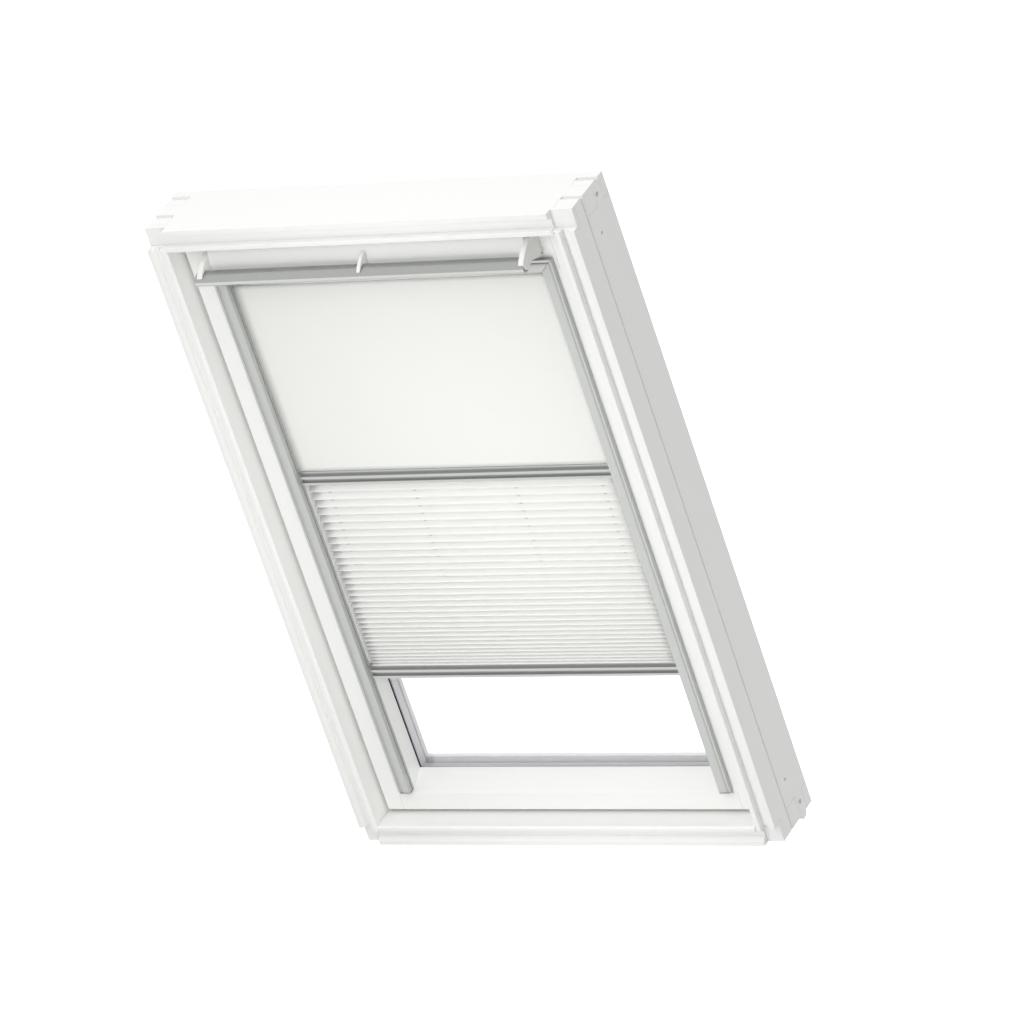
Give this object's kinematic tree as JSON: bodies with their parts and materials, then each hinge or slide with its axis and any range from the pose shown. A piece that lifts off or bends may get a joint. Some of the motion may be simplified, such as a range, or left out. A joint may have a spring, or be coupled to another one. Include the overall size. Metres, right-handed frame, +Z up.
{
  "type": "roof window with blind",
  "caption": "White centre-pivot roof window whose sash carries a duo blind: a roller blackout cloth above a pleated cloth, running in side channels under a control bar.",
  "frame": {"origin": "middle of the sill's bottom face, half way through the frame's depth", "axes": "+X across the window to the right seen from the room, +Y to the outside, +Z up the window's height from sill to head"},
  "size_m": [0.78, 0.154, 1.189],
  "materials": {
    "white_paint": "white lacquer",
    "white_plastic": "satin",
    "white_aluminium": "white powder coat",
    "grey_anodised": "satin anodised",
    "grey_plastic": "satin",
    "zinc_plate": "zinc plated",
    "spring_steel": "oiled",
    "seal_rubber": "matte",
    "spacer_metal": "matte",
    "clear_glass": "clear",
    "blackout_cloth": "coated cloth",
    "pleated_cloth": "pleated cloth"
  },
  "bodies": {
    "frame": {"frame_head": "white_paint", "frame_sill": "white_paint", "frame_jamb_left": "white_paint", "frame_jamb_right": "white_paint", "corner_screw_bottom_left": "zinc_plate", "corner_screw_bottom_right": "zinc_plate", "corner_screw_top_left": "zinc_plate", "corner_screw_top_right": "zinc_plate", "frame_hinge_left": "zinc_plate", "frame_hinge_right": "zinc_plate", "latch_keeper": "zinc_plate", "seal_head": "seal_rubber", "seal_sill": "seal_rubber", "seal_left_lower": "seal_rubber", "seal_left_upper": "seal_rubber", "seal_right_lower": "seal_rubber", "seal_right_upper": "seal_rubber"},
    "sash": {"sash_top_rail": "white_paint", "sash_bottom_rail": "white_paint", "sash_stile_left": "white_paint", "sash_stile_right": "white_paint", "glass_inner": "clear_glass", "glass_outer": "clear_glass", "glass_spacer": "spacer_metal", "glass_gasket": "seal_rubber", "glazing_bead_top": "white_aluminium", "glazing_bead_bottom": "white_aluminium", "glazing_bead_left": "white_aluminium", "glazing_bead_right": "white_aluminium", "sash_hinge_left": "zinc_plate", "sash_hinge_right": "zinc_plate", "flap_bracket_left": "zinc_plate", "flap_bracket_right": "zinc_plate", "latch_housing": "zinc_plate", "blind_casing": "grey_anodised", "casing_end_left": "grey_plastic", "casing_end_right": "grey_plastic", "channel_left": "grey_anodised", "channel_right": "grey_anodised", "channel_foot_left": "grey_plastic", "channel_foot_right": "grey_plastic", "blackout_cloth": "blackout_cloth"},
    "flap": {"control_bar": "grey_anodised", "flap_panel": "white_aluminium", "flap_end_left": "white_plastic", "flap_end_right": "white_plastic", "flap_rib": "white_plastic"},
    "bolt": {"latch_bolt": "zinc_plate"},
    "roller": {"roller_tube": "grey_anodised", "cloth_roll": "blackout_cloth", "roller_pin_left": "grey_plastic", "roller_pin_right": "grey_plastic", "roller_spring": "spring_steel"},
    "mid": {"mid_bar": "grey_anodised", "mid_glide_left": "grey_plastic", "mid_glide_right": "grey_plastic", "pleated_cloth": "pleated_cloth"},
    "low": {"low_bar": "grey_anodised", "low_glide_left": "grey_plastic", "low_glide_right": "grey_plastic"}
  },
  "joints": [
    {"name": "sash_swing", "type": "hinge", "parent": "frame", "child": "sash", "pos_m": [0, 0.0115, 0.59], "axis": [1, 0, 0], "range_deg": [0, 160]},
    {"name": "flap_tilt", "type": "hinge", "parent": "sash", "child": "flap", "pos_m": [0, -0.029, 1.0915], "axis": [1, 0, 0], "range_deg": [0, 20]},
    {"name": "bolt_slide", "type": "slide", "parent": "sash", "child": "bolt", "axis": [0, 0, -1], "range_m": [0, 0.0055]},
    {"name": "roller_turn", "type": "hinge", "parent": "sash", "child": "roller", "pos_m": [0, -0.0065, 1.049], "axis": [1, 0, 0], "range_deg": [-1860, 340]},
    {"name": "mid_bar_slide", "type": "slide", "parent": "sash", "child": "mid", "axis": [0, 0, 1], "range_m": [-0.06, 0.332], "deforming": ["blackout_cloth"]},
    {"name": "low_bar_slide", "type": "slide", "parent": "mid", "child": "low", "axis": [0, 0, 1], "range_m": [-0.15, 0.31], "deforming": ["pleated_cloth"]}
  ],
  "couplings": [
    {"joint": "bolt_slide", "follows": "flap_tilt", "m_per_rad": 0.0157},
    {"joint": "roller_turn", "follows": "mid_bar_slide", "rad_per_m": -97.6}
  ]
}
